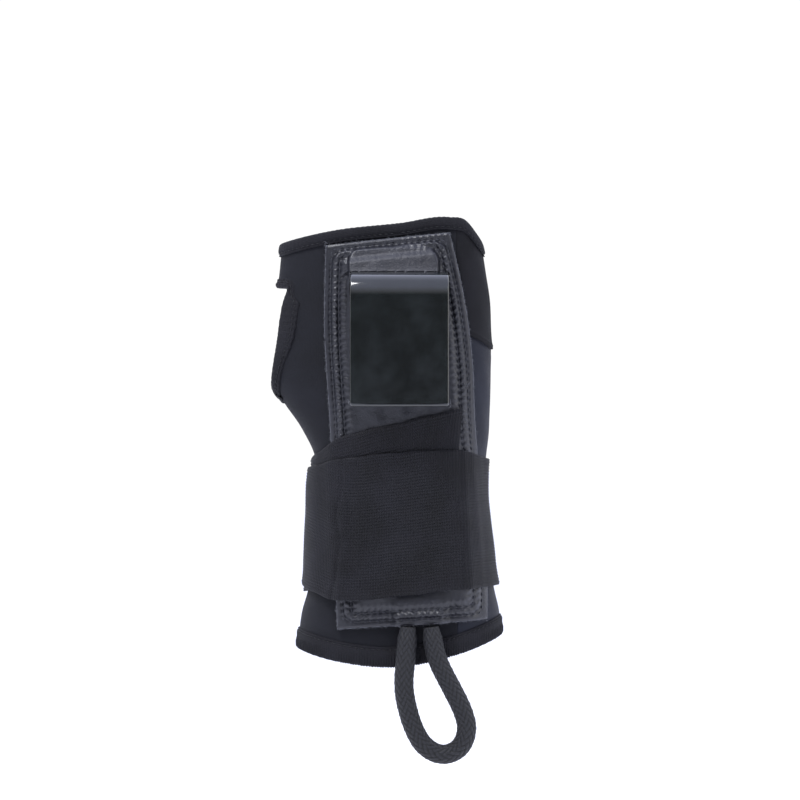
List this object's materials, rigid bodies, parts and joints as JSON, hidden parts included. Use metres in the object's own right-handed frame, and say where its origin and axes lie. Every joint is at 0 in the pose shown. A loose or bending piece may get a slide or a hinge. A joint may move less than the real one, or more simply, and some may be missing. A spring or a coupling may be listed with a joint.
{
  "type": "wrist splint",
  "caption": "Left-hand neoprene wrist sleeve with a stayed leather-cloth pocket, a bent hook plate over the palm, a double-wrapped elastic strap and a braided pull loop.",
  "frame": {"origin": "centre of the forearm opening", "axes": "+Z from the forearm to the fingers, -Y out of the palm, -X to the thumb"},
  "size_m": [0.1108, 0.0956, 0.2561],
  "materials": {
    "neoprene": "matte",
    "stretch_panel": "satin",
    "binding": "matte",
    "backing_cloth": "matte",
    "foam": "matte",
    "leather_cloth": "satin",
    "stay_metal": "satin",
    "hook_lacquer": "gloss",
    "elastic": "matte",
    "loop_tape": "matte",
    "hook_tape": "matte",
    "braid": "matte"
  },
  "bodies": {
    "brace": {"sleeve_palm_panel": "neoprene", "sleeve_back_panel": "neoprene", "hand_side_panel": "neoprene", "side_gusset": "stretch_panel", "hand_binding": "binding", "thumb_binding": "binding", "forearm_binding": "binding", "pocket_backing": "backing_cloth", "pocket_foam": "foam", "pocket_leather": "leather_cloth", "inner_stay": "stay_metal", "palm_hook": "hook_lacquer", "wrap_strap": "elastic", "strap_loop_patch": "loop_tape", "loop_anchor": "braid"},
    "strap_tab": {"strap_end_tab": "elastic", "strap_hook_patch": "hook_tape"},
    "cord_loop": {"pull_loop": "braid"}
  },
  "joints": [
    {"name": "pull_loop_swing", "type": "hinge", "parent": "brace", "child": "cord_loop", "pos_m": [0.0092, -0.0412, 0.0118], "axis": [-1, 0, 0], "range_deg": [0, 100]},
    {"name": "strap_tab_peel", "type": "hinge", "parent": "brace", "child": "strap_tab", "pos_m": [-0.004, 0.027, 0.064], "axis": [0, -0.1362, 0.9907], "range_deg": [0, 100]}
  ]
}
